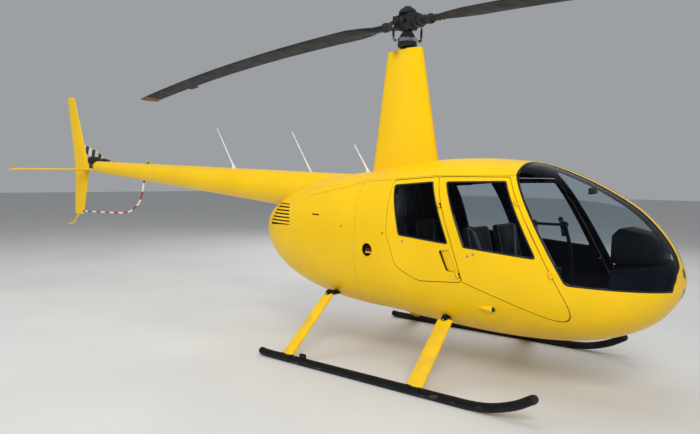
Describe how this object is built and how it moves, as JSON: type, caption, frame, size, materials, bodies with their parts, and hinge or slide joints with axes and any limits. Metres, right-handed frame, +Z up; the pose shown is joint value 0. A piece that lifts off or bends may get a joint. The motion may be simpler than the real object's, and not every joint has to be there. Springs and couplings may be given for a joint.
{
  "type": "light four-seat helicopter",
  "caption": "Light helicopter with a rounded glazed cabin, four hinged doors, a teetering two-blade rotor on a tall mast fairing, a slim tail boom and skid gear.",
  "frame": {"origin": "on the ground under the middle of the overall length, in the plane of symmetry; the rotor mast's axis is 0.762 m ahead of it", "axes": "+X to the nose, +Y to the left of someone who sits inside, +Z up, skids on z = 0"},
  "size_m": [11.6303, 2.314, 3.284],
  "materials": {
    "yellow_paint": "gloss",
    "black_paint": "satin",
    "blade_paint": "matte",
    "white_paint": "gloss",
    "clear_glazing": "gloss",
    "seat_leather": "satin",
    "grey_carpet": "matte",
    "black_trim": "matte",
    "bare_steel": "satin",
    "grey_casting": "matte",
    "engine_casting": "matte",
    "red_lens": "gloss",
    "lamp_glass": "polished"
  },
  "bodies": {
    "airframe": {"cabin_shell": "yellow_paint", "roof_cowl": "yellow_paint", "mast_fairing": "yellow_paint", "windshield_strip": "yellow_paint", "windshield_right": "clear_glazing", "windshield_left": "clear_glazing", "engine_cowl": "yellow_paint", "firewall": "bare_steel", "engine_block": "engine_casting", "exhaust_pipe": "bare_steel", "tailcone": "yellow_paint", "tail_gearbox": "grey_casting", "tail_fin": "yellow_paint", "stabilizer": "yellow_paint", "tail_guard": "white_paint", "tail_skid": "yellow_paint", "aerial_roof": "white_paint", "aerial_front": "white_paint", "aerial_rear": "white_paint", "beacon": "red_lens", "skid_right": "black_paint", "skid_left": "black_paint", "front_cross_tube": "black_paint", "rear_cross_tube": "black_paint", "front_strut_right": "yellow_paint", "front_strut_left": "yellow_paint", "rear_strut_right": "yellow_paint", "rear_strut_left": "yellow_paint", "landing_lights": "lamp_glass", "cabin_floor": "grey_carpet", "front_seat_box": "grey_carpet", "rear_seat_box": "grey_carpet", "front_seat_cushion_right": "seat_leather", "front_seat_cushion_left": "seat_leather", "front_seat_back_right": "seat_leather", "front_seat_back_left": "seat_leather", "rear_seat_cushion_right": "seat_leather", "rear_seat_cushion_left": "seat_leather", "rear_seat_back_right": "seat_leather", "rear_seat_back_left": "seat_leather", "instrument_console": "black_trim", "cyclic_stick": "black_trim", "collective_lever": "black_trim", "pedals_right": "black_trim", "pedals_left": "black_trim", "swashplate_base": "bare_steel"},
    "right_front_door": {"front_door_right": "yellow_paint", "front_door_window_right": "clear_glazing"},
    "left_front_door": {"front_door_left": "yellow_paint", "front_door_window_left": "clear_glazing"},
    "right_rear_door": {"rear_door_right": "yellow_paint", "rear_door_window_right": "clear_glazing"},
    "left_rear_door": {"rear_door_left": "yellow_paint", "rear_door_window_left": "clear_glazing"},
    "main_rotor": {"rotor_hub": "grey_casting", "swashplate_ring": "bare_steel", "main_blade_1": "blade_paint", "main_blade_2": "blade_paint"},
    "tail_rotor": {"tail_rotor_blades": "blade_paint"}
  },
  "joints": [
    {"name": "main_rotor_spin", "type": "hinge", "parent": "airframe", "child": "main_rotor", "pos_m": [0.762, 0, 3.15], "axis": [0, 0, 1], "continuous": true},
    {"name": "tail_rotor_spin", "type": "hinge", "parent": "airframe", "child": "tail_rotor", "pos_m": [-5.131, 0.3, 1.895], "axis": [0, 1, 0], "continuous": true},
    {"name": "right_front_door_hinge", "type": "hinge", "parent": "airframe", "child": "right_front_door", "pos_m": [2.454, -0.645, 0.961], "axis": [-0.4867, 0.0524, 0.872], "range_deg": [0, 75]},
    {"name": "left_front_door_hinge", "type": "hinge", "parent": "airframe", "child": "left_front_door", "pos_m": [2.454, 0.645, 0.961], "axis": [0.4867, 0.0524, -0.872], "range_deg": [0, 75]},
    {"name": "right_rear_door_hinge", "type": "hinge", "parent": "airframe", "child": "right_rear_door", "pos_m": [1.71, -0.663, 0.89], "axis": [-0.3413, 0.0495, 0.9386], "range_deg": [0, 75]},
    {"name": "left_rear_door_hinge", "type": "hinge", "parent": "airframe", "child": "left_rear_door", "pos_m": [1.71, 0.663, 0.89], "axis": [0.3413, 0.0495, -0.9386], "range_deg": [0, 75]}
  ],
  "couplings": [
    {"joint": "tail_rotor_spin", "follows": "main_rotor_spin", "ratio": -5.9495}
  ]
}
